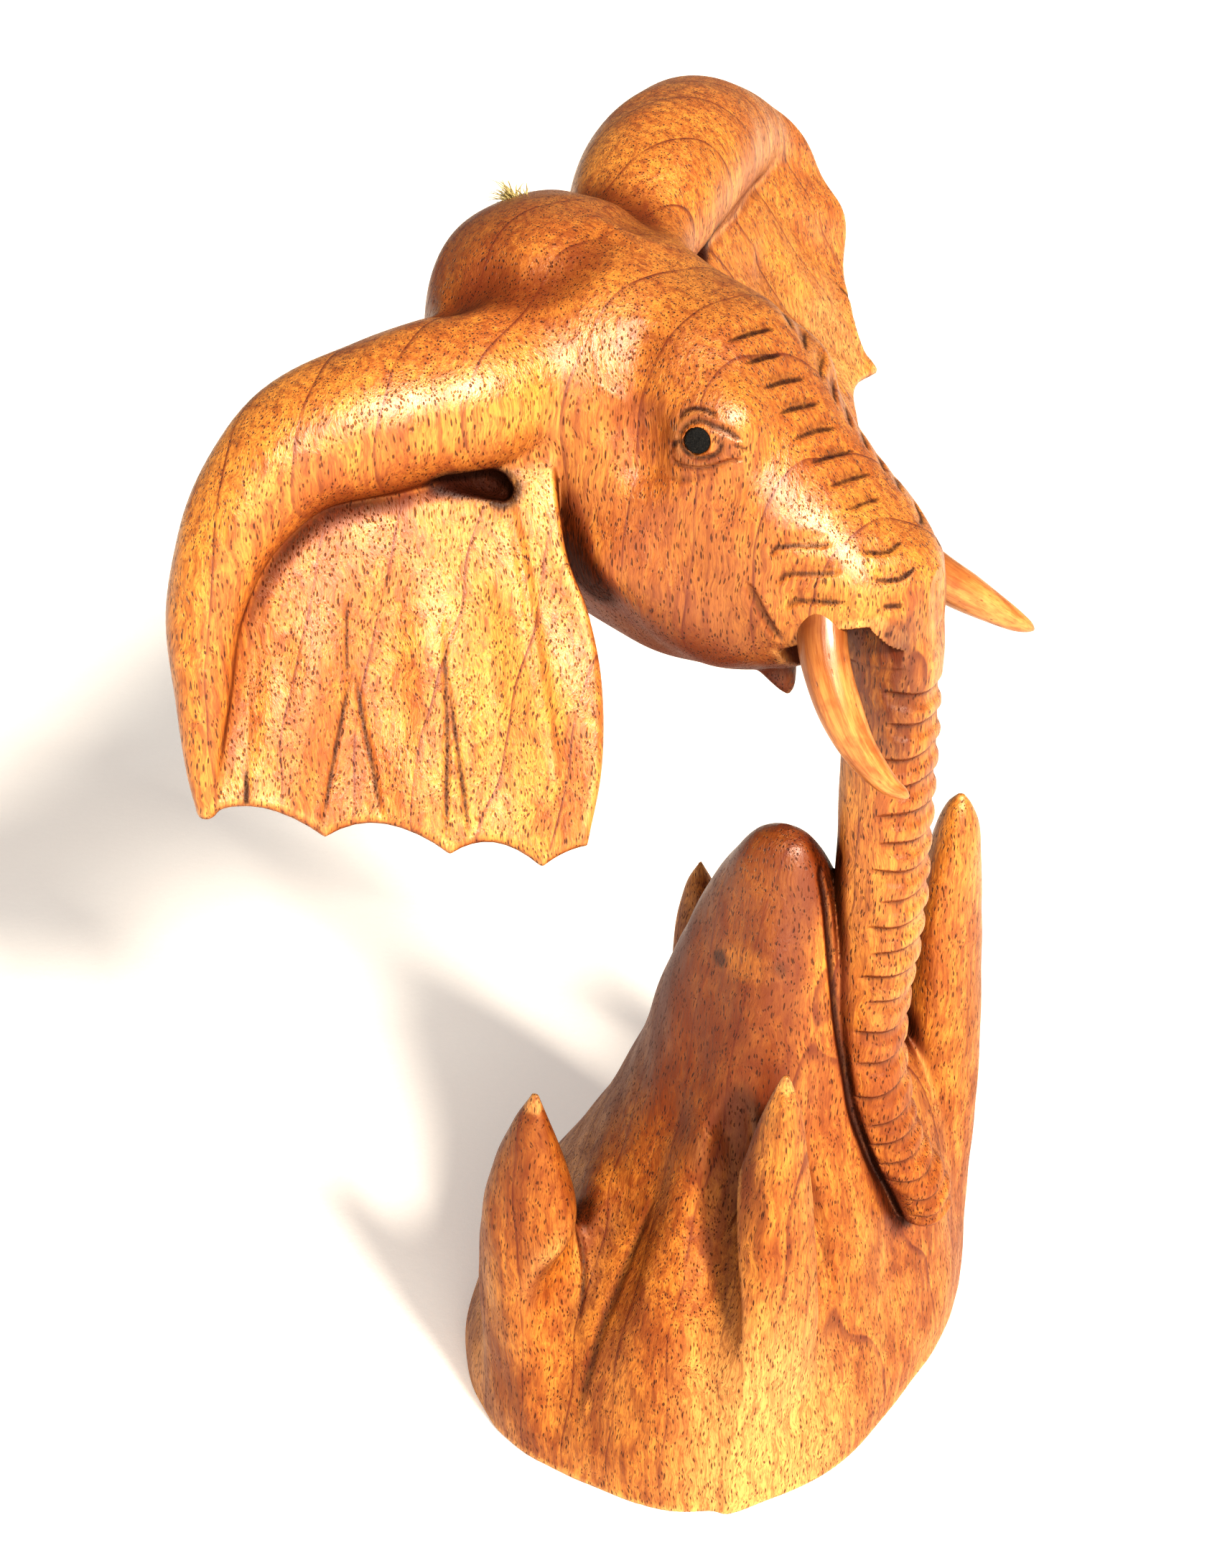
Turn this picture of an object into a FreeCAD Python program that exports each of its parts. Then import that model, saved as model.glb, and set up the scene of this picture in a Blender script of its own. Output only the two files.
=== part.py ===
import FreeCAD, Part
import math
import os

# Carved wooden elephant, in millimetres.
# Origin: centre of the flat underside. +Z is up. The elephant faces -Y.
# Its right side is -X and its left side is +X.
os.makedirs("parts", exist_ok=True)
V = FreeCAD.Vector

# ---- driving dimensions -------------------------------------------------
trunk_side_radius = 8.2       # half width of the trunk, across X
trunk_deep_radius = 8.7       # half depth of the trunk, along Y
trunk_axis_y = -33.0          # the trunk hangs straight down at this Y
trunk_ring_count = 19         # carved rings on the front of the trunk
trunk_ring_top = 186.0        # highest ring groove
trunk_ring_bottom = 60.0      # lowest ring groove
trunk_ring_depth = 0.7        # depth of a ring groove
trunk_ring_width = 1.0        # width of a ring groove
ear_roll_radius = 12.5        # thick rolled fold along an ear's upper edge
ear_panel_thickness = 5.5     # thin hanging part of an ear
tusk_root_radius = 4.4
tusk_tenon_radius = 2.5       # peg turned on the tusk's root
tusk_tenon_length = 6.0
pupil_radius = 2.4
pupil_depth = 3.0             # length of the dark plug set in the eye
iris_radius = 3.9
tuft_hole_radius = 1.6
tuft_hole_depth = 3.5
tuft_top_radius = 3.0
tuft_height = 4.0

# ---- helpers ------------------------------------------------------------


def closed_wire(points):
    curve = Part.BSplineCurve()
    curve.interpolate(Points=points, PeriodicFlag=True)
    return Part.Wire([curve.toShape()])


def ring_points(centre, side, lift, half_a, half_b, count=12):
    points = []
    for i in range(count):
        t = 2.0 * math.pi * i / count
        points.append(centre + side * (half_a * math.cos(t)) + lift * (half_b * math.sin(t)))
    return points


def full_ring(centre, side, lift, half_a, half_b, count=16):
    # like ring_points but squarer, as a head's cross-section is
    points = []
    for i in range(count):
        t = 2.0 * math.pi * i / count
        c = math.cos(t)
        s = math.sin(t)
        swell = (abs(c) ** 2.5 + abs(s) ** 2.5) ** (-1.0 / 2.5)
        points.append(centre + side * (half_a * c * swell) + lift * (half_b * s * swell))
    return points


def loft(wires):
    solid = Part.makeLoft(wires, True, False)
    if solid.Volume < 0:
        solid.reverse()
    return solid


def level_loft(sections):
    # sections: (z, centre x, centre y, half width x, half depth y)
    wires = []
    for z, cx, cy, rx, ry in sections:
        wires.append(closed_wire(ring_points(V(cx, cy, z), V(1, 0, 0), V(0, 1, 0), rx, ry)))
    return loft(wires)


def tube(stations):
    # stations: (x, y, z, radius); round sections square to the path
    wires = []
    centres = [V(s[0], s[1], s[2]) for s in stations]
    side = None
    for i, station in enumerate(stations):
        before = centres[max(i - 1, 0)]
        after = centres[min(i + 1, len(centres) - 1)]
        along = (after - before).normalize()
        if side is None:
            guess = V(0, 0, 1) if abs(along.z) < 0.9 else V(0, 1, 0)
            side = along.cross(guess).normalize()
        side = (side - along * side.dot(along)).normalize()
        lift = along.cross(side)
        wires.append(closed_wire(ring_points(centres[i], side, lift, station[3], station[3])))
    return loft(wires)


def ball(x, y, z, radius):
    return Part.makeSphere(radius, V(x, y, z))


def join(shapes):
    return shapes[0].multiFuse(shapes[1:])


# ---- base: carved mound on a flat foot ----------------------------------
foot_outline = [
    (-17, 53), (-31, 45), (-43, 31), (-49, 14), (-50, -4), (-46, -22), (-34, -34),
    (-13, -40), (13, -45), (36, -43), (52, -34), (57, -14), (54, 8), (42, 30), (20, 48), (0, 55),
]


def foot_wire(z, scale, shift_x, shift_y):
    points = [V(x * scale + shift_x, y * scale + shift_y, z) for x, y in foot_outline]
    return closed_wire(points)


mound_wires = [
    foot_wire(0.0, 0.985, 0.0, 0.0),
    foot_wire(14.0, 1.0, 0.0, 0.0),
    foot_wire(34.0, 0.90, 1.0, -2.5),
    foot_wire(58.0, 0.68, 1.5, -7.0),
    foot_wire(82.0, 0.50, 0.5, -10.0),
    foot_wire(104.0, 0.385, -1.5, -11.5),
    foot_wire(122.0, 0.285, -4.0, -13.5),
    foot_wire(136.0, 0.19, -6.5, -15.5),
    foot_wire(143.5, 0.07, -8.0, -16.5),
]
mound = loft(mound_wires)

# pointed leaves that rise from the rim of the base
leaf_right = level_loft([
    (1, -36.5, 17, 10.5, 15), (20, -38, 18, 10.5, 15.5), (40, -40.5, 20, 9.5, 14.5),
    (60, -42.5, 21, 7.8, 11.5), (76, -43.8, 20.5, 6, 8), (86, -44.6, 19.8, 3.6, 4.2), (93, -45, 18.8, 0.8, 0.9),
])
leaf_front = level_loft([
    (1, -32, -17, 12.5, 12), (25, -33, -20, 12.5, 12), (48, -34, -24, 10.5, 10), (70, -34.2, -26, 8, 7.5),
    (88, -34.2, -28, 5.2, 5.2), (99, -34.1, -28.6, 3.0, 3.2), (107, -34, -29, 0.8, 0.9),
])
leaf_left = level_loft([
    (1, 40, -26, 14, 13), (30, 41, -29.5, 14.5, 12.5), (60, 42, -32.5, 13.5, 10), (90, 39.5, -34, 11.5, 8),
    (112, 36.5, -34.5, 8, 5.8), (127, 35, -35.5, 4.5, 4), (135, 34, -36, 1.0, 1.0),
])
leaf_back = level_loft([
    (1, 36, 14, 12, 13), (30, 37, 16, 11.5, 12), (55, 37, 19, 9.5, 10), (78, 36, 21, 7, 7.2),
    (94, 35.3, 21.8, 3.8, 4), (102, 35, 22, 0.9, 0.9),
])

# ---- trunk ---------------------------------------------------------------
trunk_path = [
    (200.0, 0.0, -25.0, 13.0, 9.5),
    (192.0, 0.0, -29.0, 11.5, 9.5),
    (181.0, 0.0, trunk_axis_y + 0.6, trunk_side_radius + 0.8, trunk_deep_radius + 0.3),
    (160.0, 0.0, trunk_axis_y, trunk_side_radius + 0.2, trunk_deep_radius),
    (130.0, 0.0, trunk_axis_y + 0.2, trunk_side_radius, trunk_deep_radius),
    (106.0, 0.0, trunk_axis_y + 1.8, trunk_side_radius, trunk_deep_radius - 0.2),
    (94.0, 0.6, trunk_axis_y + 2.2, trunk_side_radius, trunk_deep_radius - 0.4),
    (84.0, 1.8, trunk_axis_y + 1.0, trunk_side_radius - 0.2, trunk_deep_radius - 0.6),
    (74.0, 3.8, trunk_axis_y - 0.8, trunk_side_radius - 0.4, trunk_deep_radius - 0.8),
    (66.0, 6.2, trunk_axis_y - 2.8, trunk_side_radius - 0.6, trunk_deep_radius - 1.0),
    (58.0, 9.4, trunk_axis_y - 6.6, trunk_side_radius - 0.9, trunk_deep_radius - 1.6),
    (51.0, 11.5, trunk_axis_y - 8.6, trunk_side_radius - 1.4, trunk_deep_radius - 2.2),
    (46.0, 12.0, trunk_axis_y - 9.2, trunk_side_radius - 2.2, trunk_deep_radius - 3.2),
]
trunk = level_loft(list(reversed(trunk_path)))


def trunk_at(z):
    # centre and half sizes of the trunk at a height
    for upper, lower in zip(trunk_path[:-1], trunk_path[1:]):
        if lower[0] <= z <= upper[0]:
            t = (upper[0] - z) / (upper[0] - lower[0])
            return [u + (w - u) * t for u, w in zip(upper[1:], lower[1:])]
    return list(trunk_path[-1][1:])


# ---- head ----------------------------------------------------------------
# upright sections from the back of the head to the snout:
# (y, top z, bottom z, half width)
head_sections = [
    (57.5, 241.0, 226.0, 9.0),
    (53.0, 251.0, 210.0, 20.0),
    (42.0, 255.5, 193.5, 26.0),
    (27.0, 253.5, 182.5, 28.0),
    (11.0, 246.0, 175.0, 26.0),
    (-3.0, 240.5, 174.5, 23.5),
    (-14.0, 227.0, 176.6, 21.0),
    (-24.0, 214.5, 182.5, 18.5),
    (-31.0, 208.4, 184.4, 15.5),
    (-37.0, 204.0, 187.0, 9.0),
]
head_wires = []
for y, top, bottom, half in head_sections:
    middle = V(0, y, (top + bottom) / 2.0)
    head_wires.append(closed_wire(full_ring(middle, V(1, 0, 0), V(0, 0, 1), half, (top - bottom) / 2.0)))
head = loft(head_wires)

# pointed lower lip behind the trunk
chin = level_loft([
    (190, 0, -6, 11, 14), (180, 0, -8, 7.5, 9), (173, 0, -10, 3.8, 4.6), (168, 0, -11.5, 0.8, 0.9),
])

# rounded eyeballs and the bony brow over each
eyeball_right = ball(-18.2, -1.2, 225.0, 5.2)
eyeball_left = ball(18.2, -1.2, 225.0, 5.2)
brow_right = ball(-15.5, -2.5, 229.5, 6.5)
brow_left = ball(15.5, -2.5, 229.5, 6.5)


# ---- ears ----------------------------------------------------------------
# Each ear has its own frame: an origin where it leaves the head, a direction
# out along the ear, a direction down it, and the direction its front faces.
# The fold is the thick rolled upper and rear edge: (out, down, front, radius).
ear_fold = [
    (10.0, -23.5, -8.0, 12.0), (26.6, -18.0, -3.0, ear_roll_radius),
    (43.1, -12.0, -1.2, 11.0), (54.0, -0.5, -1.0, 8.8), (60.5, 14.0, -2.5, 6.5),
    (62.3, 30.0, -2.5, 4.6), (62.5, 43.0, -2.3, 3.4),
]
ear_front_edge = [(-2.0, -8.0), (-2.5, 8.0), (-6.0, 20.0), (-7.5, 33.0), (-6.5, 48.0), (-3.0, 62.0)]
ear_lobe_points = [(-3.0, 62.0), (5.2, 65.5), (21.7, 61.8), (43.5, 56.5), (64.5, 50.5)]
ear_lobe_rise = [0.8, 3.6, 4.0, 3.2]
ear_rim = [(66.0, 30.0), (62.0, 5.0), (50.0, -8.0)]
ear_hollow = 3.0              # how far the middle of an ear dishes in


def ear(origin, out, down, front, fold_root):
    out = V(*out).normalize()
    front = V(*front)
    front = (front - out * front.dot(out)).normalize()
    down = V(*down)
    down = (down - out * down.dot(out) - front * down.dot(front)).normalize()
    start = V(*origin)

    def place(w, d, n):
        return start + out * w + down * d + front * n

    fold_path = [fold_root]
    for w, d, n, radius in ear_fold:
        p = place(w, d, n)
        fold_path.append((p.x, p.y, p.z, radius))
    fold = tube(fold_path)

    # gently dished sheet, thickened
    grid = []
    for i in range(7):
        row = []
        w = -12.0 + 14.0 * i
        for j in range(7):
            d = -14.0 + 14.0 * j
            dish = ear_hollow * math.sin(math.pi * max(0.0, min(1.0, (w + 12.0) / 84.0)))
            row.append(place(w, d, -0.2 - ear_panel_thickness - dish))
        grid.append(row)
    sheet = Part.BSplineSurface()
    sheet.interpolate(grid)
    slab = sheet.toShape().extrude(front * ear_panel_thickness)

    # outline of the sheet, with scallops along the bottom
    edges = []
    border = ear_front_edge
    for p, q in zip(border[:-1], border[1:]):
        edges.append(Part.makeLine(place(p[0], p[1], -20.0), place(q[0], q[1], -20.0)))
    for p, q, rise in zip(ear_lobe_points[:-1], ear_lobe_points[1:], ear_lobe_rise):
        middle = place((p[0] + q[0]) / 2.0, (p[1] + q[1]) / 2.0 - rise, -20.0)
        edges.append(Part.Arc(place(p[0], p[1], -20.0), middle, place(q[0], q[1], -20.0)).toShape())
    border = [ear_lobe_points[-1]] + ear_rim + [ear_front_edge[0]]
    for p, q in zip(border[:-1], border[1:]):
        edges.append(Part.makeLine(place(p[0], p[1], -20.0), place(q[0], q[1], -20.0)))
    outline = Part.Face(Part.Wire(edges)).extrude(front * 40.0)
    panel = slab.common(outline)
    print("ear", fold.isValid(), panel.isValid(), round(fold.Volume), round(panel.Volume))
    return [fold, panel]


ear_right = ear((-32, 21, 213), (-0.62, 0.785, 0.0), (-0.28, -0.22, -0.93), (-0.73, -0.58, 0.36),
                (-5.0, 33.0, 232.0, 14.0))
ear_left = ear((31.5, 21, 227.5), (0.893, 0.269, 0.361), (0.44, -0.37, -0.815), (0.084, -0.887, 0.453),
               (12.0, 31.0, 238.0, 12.0))

# ---- one-block carving -----------------------------------------------------
carving = join([mound, leaf_right, leaf_front, leaf_left, leaf_back, trunk, head, chin,
                eyeball_right, eyeball_left, brow_right, brow_left] + ear_right + ear_left)

# cut everything flush with the resting plane
below = Part.makeBox(400, 400, 50, V(-200, -200, -50))
carving = carving.cut(below)

# shallow carved rings round the front of the trunk
for i in range(trunk_ring_count):
    z = trunk_ring_top + (trunk_ring_bottom - trunk_ring_top) * i / (trunk_ring_count - 1)
    cx, cy, rx, ry = trunk_at(z)
    outer = Part.makeBox(2 * rx + 6, ry + 3, trunk_ring_width, V(cx - rx - 3, cy - ry - 3, z))
    # wider than the trunk at its sides, so each groove runs out there
    core_low = closed_wire(ring_points(V(cx, cy, z - 2), V(1, 0, 0), V(0, 1, 0),
                                       rx + 0.35, ry - trunk_ring_depth))
    core = Part.Face(core_low).extrude(V(0, 0, trunk_ring_width + 4))
    groove = outer.cut(core)
    carving = carving.cut(groove)

print("carving", carving.ShapeType, len(carving.Solids), carving.isValid(), round(carving.Volume))


# ---- tusks -----------------------------------------------------------------
def tusk(stations):
    return tube(stations)


tusk_right_path = [
    (-14.5, -24.0, 194.0, tusk_root_radius), (-17.6, -26.0, 188.0, tusk_root_radius),
    (-19.6, -29.5, 180.5, 4.1), (-19.8, -34.0, 172.5, 3.3), (-18.4, -39.0, 166.0, 2.2),
    (-16.8, -42.0, 163.4, 1.2), (-16.2, -43.0, 162.6, 0.4),
]
tusk_left_path = [
    (14.5, -27.0, 195.0, tusk_root_radius), (19.0, -31.5, 190.0, tusk_root_radius),
    (23.5, -36.0, 185.5, 3.9), (27.6, -40.5, 181.2, 3.1), (31.2, -44.5, 177.6, 2.1),
    (33.3, -46.7, 175.8, 1.2), (34.2, -47.6, 175.0, 0.4),
]
tusk_right = tusk(tusk_right_path)
tusk_left = tusk(tusk_left_path)

right_tusk = tusk_right
left_tusk = tusk_left
for shape in (right_tusk, left_tusk):
    print("tusk", len(shape.Solids), shape.isValid(), round(shape.Volume))
carving = carving.cut(right_tusk).cut(left_tusk)

# ---- eyes ------------------------------------------------------------------
eye_right_centre = V(-22.9, -3.0, 225.4)
eye_left_centre = V(22.9, -3.0, 225.4)


def plug(centre, outward, radius, depth, lift):
    start = centre - outward * depth
    return Part.makeCylinder(radius, depth + lift, start, outward)


out_right = V(-0.91, -0.38, 0.10).normalize()
out_left = V(0.91, -0.38, 0.10).normalize()
right_pupil = plug(eye_right_centre, out_right, pupil_radius, pupil_depth, 0.2)
left_pupil = plug(eye_left_centre, out_left, pupil_radius, pupil_depth, 0.2)
carving = carving.cut(right_pupil).cut(left_pupil)

# ---- tuft ------------------------------------------------------------------
tuft_dir = V(-0.1, 0.35, 0.93).normalize()
tuft_foot = V(2.5, 46.0, 254.0)
tuft_base = tuft_foot - tuft_dir * tuft_hole_depth
tuft = Part.makeCone(tuft_hole_radius, tuft_top_radius, tuft_hole_depth + tuft_height, tuft_base, tuft_dir)
carving = carving.cut(tuft)

print("final", carving.ShapeType, len(carving.Solids), carving.isValid(), round(carving.Volume))
bb = carving.BoundBox
print("box", [round(v, 1) for v in (bb.XMin, bb.XMax, bb.YMin, bb.YMax, bb.ZMin, bb.ZMax)])

nodes = {
    "elephant_carving": carving,
    "right_tusk": right_tusk,
    "left_tusk": left_tusk,
    "right_eye_pupil": right_pupil,
    "left_eye_pupil": left_pupil,
    "crown_fibre_tuft": tuft,
}
for name, shape in nodes.items():
    solid = shape.Solids[0] if len(shape.Solids) == 1 else shape
    solid.exportStep("parts/" + name + ".step")
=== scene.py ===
import math

import bpy
import numpy as np
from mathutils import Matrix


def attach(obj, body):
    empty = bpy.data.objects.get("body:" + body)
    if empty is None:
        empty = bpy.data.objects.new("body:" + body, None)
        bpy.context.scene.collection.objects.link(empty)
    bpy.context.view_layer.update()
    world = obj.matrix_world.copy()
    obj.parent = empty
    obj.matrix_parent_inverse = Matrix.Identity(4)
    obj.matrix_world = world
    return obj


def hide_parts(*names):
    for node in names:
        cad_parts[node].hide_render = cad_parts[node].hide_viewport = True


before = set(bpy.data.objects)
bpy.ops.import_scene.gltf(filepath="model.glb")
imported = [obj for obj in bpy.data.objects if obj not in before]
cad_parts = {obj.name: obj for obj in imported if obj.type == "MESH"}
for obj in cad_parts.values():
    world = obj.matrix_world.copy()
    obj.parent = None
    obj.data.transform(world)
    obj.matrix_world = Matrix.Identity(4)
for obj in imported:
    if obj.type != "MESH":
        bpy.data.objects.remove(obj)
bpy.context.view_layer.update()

import openvdb

MM = 0.001
rng = np.random.default_rng(11)

# ---------------------------------------------------------------- carving space, millimetres
LOW = np.array([-98, -58, -4])
HIGH = np.array([124, 88, 276])
COARSE = 1.8
FINE = 0.45
FAR = 12
CHEEKS = (1, -1)


def smin(a, b, k):
    """The lesser of two distances, rounded over a width k where they meet."""
    if k <= 0:
        return np.minimum(a, b)
    h = np.maximum(k - np.abs(a - b), 0) / k
    return np.minimum(a, b) - h * h * h * k / 6


def smax(a, b, k):
    return -smin(-a, -b, k)


def ease(t):
    t = np.clip(t, 0, 1)
    return t * t * (3 - 2 * t)


def curve(points, spacing):
    """A smooth line through the points, in even steps; columns past the third go along with it."""
    p = np.asarray(points, dtype=np.float64)
    if len(p) == 2:
        n = max(int(np.linalg.norm(p[1, :3] - p[0, :3]) / spacing), 1) + 1
        return p[0] + np.linspace(0, 1, n)[:, None] * (p[1] - p[0])
    e = np.vstack([2 * p[0] - p[1], p, 2 * p[-1] - p[-2]])
    out = []
    t = np.linspace(0, 1, 24, endpoint=False)[:, None]
    for a, b, c, d in zip(e[:-3], e[1:-2], e[2:-1], e[3:]):
        out.append(0.5 * (2 * b + (c - a) * t + (2 * a - 5 * b + 4 * c - d) * t ** 2
                          + (3 * b - a - 3 * c + d) * t ** 3))
    out.append(e[-2][None])
    q = np.vstack(out)
    s = np.concatenate([[0], np.cumsum(np.linalg.norm(np.diff(q[:, :3], axis=0), axis=1))])
    n = max(int(s[-1] / spacing), 2) + 1
    u = np.linspace(0, s[-1], n)
    return np.stack([np.interp(u, s, q[:, k]) for k in range(q.shape[1])], 1)


# ---------------------------------------------------------------- solid shapes: (distance, low, high)
def limb(stations, spacing=1.5):
    """A round limb through stations of (x, y, z, radius)."""
    s = curve(stations, spacing)
    low = (s[:, :3] - s[:, 3:4]).min(0)
    high = (s[:, :3] + s[:, 3:4]).max(0)

    def fn(x, y, z):
        best = np.full(x.shape, 1e3, dtype=np.float32)
        for a, b in zip(s[:-1].astype(np.float32), s[1:].astype(np.float32)):
            ab = b[:3] - a[:3]
            qx, qy, qz = x - a[0], y - a[1], z - a[2]
            h = np.clip((qx * ab[0] + qy * ab[1] + qz * ab[2]) / (ab @ ab), 0, 1)
            d = np.sqrt((qx - h * ab[0]) ** 2 + (qy - h * ab[1]) ** 2 + (qz - h * ab[2]) ** 2)
            np.minimum(best, d - (a[3] + (b[3] - a[3]) * h), out=best)
        return best
    return fn, low, high


def pipe(points, radius):
    return limb([tuple(p) + (radius,) for p in points])


def egg(centre, radii):
    c = np.array(centre, dtype=np.float64)
    r = np.array(radii, dtype=np.float64)

    def fn(x, y, z):
        u, v, w = x - c[0], y - c[1], z - c[2]
        k0 = np.sqrt((u / r[0]) ** 2 + (v / r[1]) ** 2 + (w / r[2]) ** 2)
        k1 = np.sqrt((u / r[0] ** 2) ** 2 + (v / r[1] ** 2) ** 2 + (w / r[2] ** 2) ** 2)
        return k0 * (k0 - 1) / np.maximum(k1, 1e-6)
    return fn, c - r, c + r


def lathe(axis, rows, power=2, spin=0):
    """Stacked rounded sections, rows of (level, centre u, centre v, half u, half v).
    Along z, u is x and v is y; along y, u is x and v is z.
    A power under 2 gives a pointed section, a higher one squarer sides."""
    r = curve(rows, 1)
    r = r[np.argsort(r[:, 0])]
    lo, hi = r[0, 0], r[-1, 0]
    reach = np.maximum(r[:, 3], r[:, 4]) * (1 if spin == 0 else 1.25)
    low = np.empty(3)
    high = np.empty(3)
    other = 1 if axis == 2 else 2
    low[axis], high[axis] = lo, hi
    low[0], high[0] = (r[:, 1] - reach).min(), (r[:, 1] + reach).max()
    low[other], high[other] = (r[:, 2] - reach).min(), (r[:, 2] + reach).max()
    cs, sn = math.cos(math.radians(spin)), math.sin(math.radians(spin))

    def fn(x, y, z):
        level, v = (z, y) if axis == 2 else (y, z)
        at = np.clip(level, lo, hi)
        cu, cv, hu, hv = [np.interp(at, r[:, 0], r[:, k]).astype(np.float32) for k in (1, 2, 3, 4)]
        hu = np.maximum(hu, 0.3)
        hv = np.maximum(hv, 0.3)
        du, dv = x - cu, v - cv
        if spin != 0:
            du, dv = du * cs + dv * sn, dv * cs - du * sn
        a = np.abs(du) / hu
        b = np.abs(dv) / hv
        rad = np.sqrt(a * a + b * b) if power == 2 else (a ** power + b ** power) ** (1 / power)
        grad = np.sqrt((a / hu) ** 2 + (b / hv) ** 2) / np.maximum(rad, 1e-4)
        d = (rad - 1) / np.maximum(grad, 1e-4)
        d = np.maximum(d, -np.minimum(hu, hv))
        over = np.maximum(lo - level, level - hi)
        return np.where(over > 0, np.sqrt(np.maximum(d, 0) ** 2 + over ** 2), d)
    return fn, low, high


def both(rows):
    """The same stations on the right side of the head and, mirrored, on the left."""
    right = [tuple(q) for q in rows]
    return right, [(-q[0],) + tuple(q[1:]) for q in right]


# ---------------------------------------------------------------- the ears
# each ear has its own flat frame at o: out from the head, down the hanging edge, and front.
# root: where the fold leaves the head; fold: stations of the rolled edge; points: the lower edge's points;
# outer: the edge's run from the last point up to the fold
EARS = {
    "right": dict(o=(-32, 21, 213), out=(-0.62, 0.785, 0), down=(-0.28, -0.22, -0.93),
                  front=(-0.73, -0.58, 0.36), root=(-5, 33, 232, 13.5),
                  fold=[(8, -20.5, -8.5, 14.5), (26.6, -16.5, -4.2, 13.8), (43.1, -11.5, -1.6, 11.4),
                        (54, -0.5, -1, 8.8), (60.5, 14, -2.2, 6.8), (62.6, 30, -2.7, 4.8),
                        (63.4, 41, -3.4, 3.3), (63.6, 49.5, -4.6, 1.8)],
                  points=[(-3, 62), (5.2, 65.5), (21.7, 61.8), (43.5, 56.5), (64.5, 50.5)],
                  outer=[(66.5, 30), (62, 5), (50, -12)]),
    "left": dict(o=(31.5, 21, 227.5), out=(0.893, 0.269, 0.361), down=(0.44, -0.37, -0.815),
                 front=(0.084, -0.887, 0.453), root=(14, 30, 235, 11),
                 fold=[(8, -17.5, -9, 12.6), (22, -16, -8.5, 15), (36, -12, -8.5, 15.5), (50, -6, -8.5, 14),
                       (62, 2.5, -8, 10.5), (70.5, 11, -6.5, 6.5), (75, 19, -4.5, 2.6)],
                 points=[(-3, 62), (5.2, 65.5), (24, 61.5), (50.5, 62.5)],
                 outer=[(51.2, 56), (53, 50), (57.5, 46), (64, 42.5), (70, 38), (74, 31), (76, 20),
                        (74, 8), (60, -6)]),
}
# inner edge of the hanging flap beside the head, (out, down), and how deep each scoop of the lower edge is
FLAP_INNER = [(-2, -12), (-2.5, 8), (-6, 20), (-7.5, 33), (-6.5, 48), (-3, 62)]
FLAP_SCOOP = [0.8, 3.4, 4, 3.4]


def unit(v):
    v = np.array(v, dtype=np.float64)
    return v / np.linalg.norm(v)


def axes_of(ear):
    out = unit(ear["out"])
    front = np.array(ear["front"], dtype=np.float64)
    front = unit(front - out * (front @ out))
    down = np.array(ear["down"], dtype=np.float64)
    down = unit(down - out * (down @ out) - front * (down @ front))
    return np.array(ear["o"], dtype=np.float64), out, down, front


def on_ear(ear, rows):
    """Ear coordinates (out, down, front, then anything) turned into the carving's."""
    o, out, down, front = axes_of(ear)
    p = np.array(rows, dtype=np.float64)
    q = o + p[:, :1] * out + p[:, 1:2] * down + p[:, 2:3] * front
    return np.hstack([q, p[:, 3:]])


def flap_outline(ear):
    pts = list(curve([p + (0,) for p in FLAP_INNER], 2)[:, :2])
    for p, q, rise in zip(ear["points"][:-1], ear["points"][1:], FLAP_SCOOP):
        for t in np.linspace(0, 1, 9)[1:]:
            sag = 4 * rise * t * (1 - t)
            pts.append(np.array([p[0] + (q[0] - p[0]) * t, p[1] + (q[1] - p[1]) * t - sag]))
    pts += list(curve([ear["points"][-1] + (0,)] + [p + (0,) for p in ear["outer"]], 2)[1:, :2])
    return np.array(pts)


def polygon_distance(px, py, poly):
    best = np.full(px.shape, 1e9)
    inside = np.zeros(px.shape, dtype=bool)
    for a, b in zip(poly, np.roll(poly, -1, axis=0)):
        e = b - a
        wx, wy = px - a[0], py - a[1]
        h = np.clip((wx * e[0] + wy * e[1]) / (e @ e), 0, 1)
        best = np.minimum(best, (wx - e[0] * h) ** 2 + (wy - e[1] * h) ** 2)
        if abs(e[1]) > 1e-9:
            inside ^= ((a[1] > py) != (b[1] > py)) & (px < e[0] * (py - a[1]) / e[1] + a[0])
    d = np.sqrt(best)
    return np.where(inside, -d, d)


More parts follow.
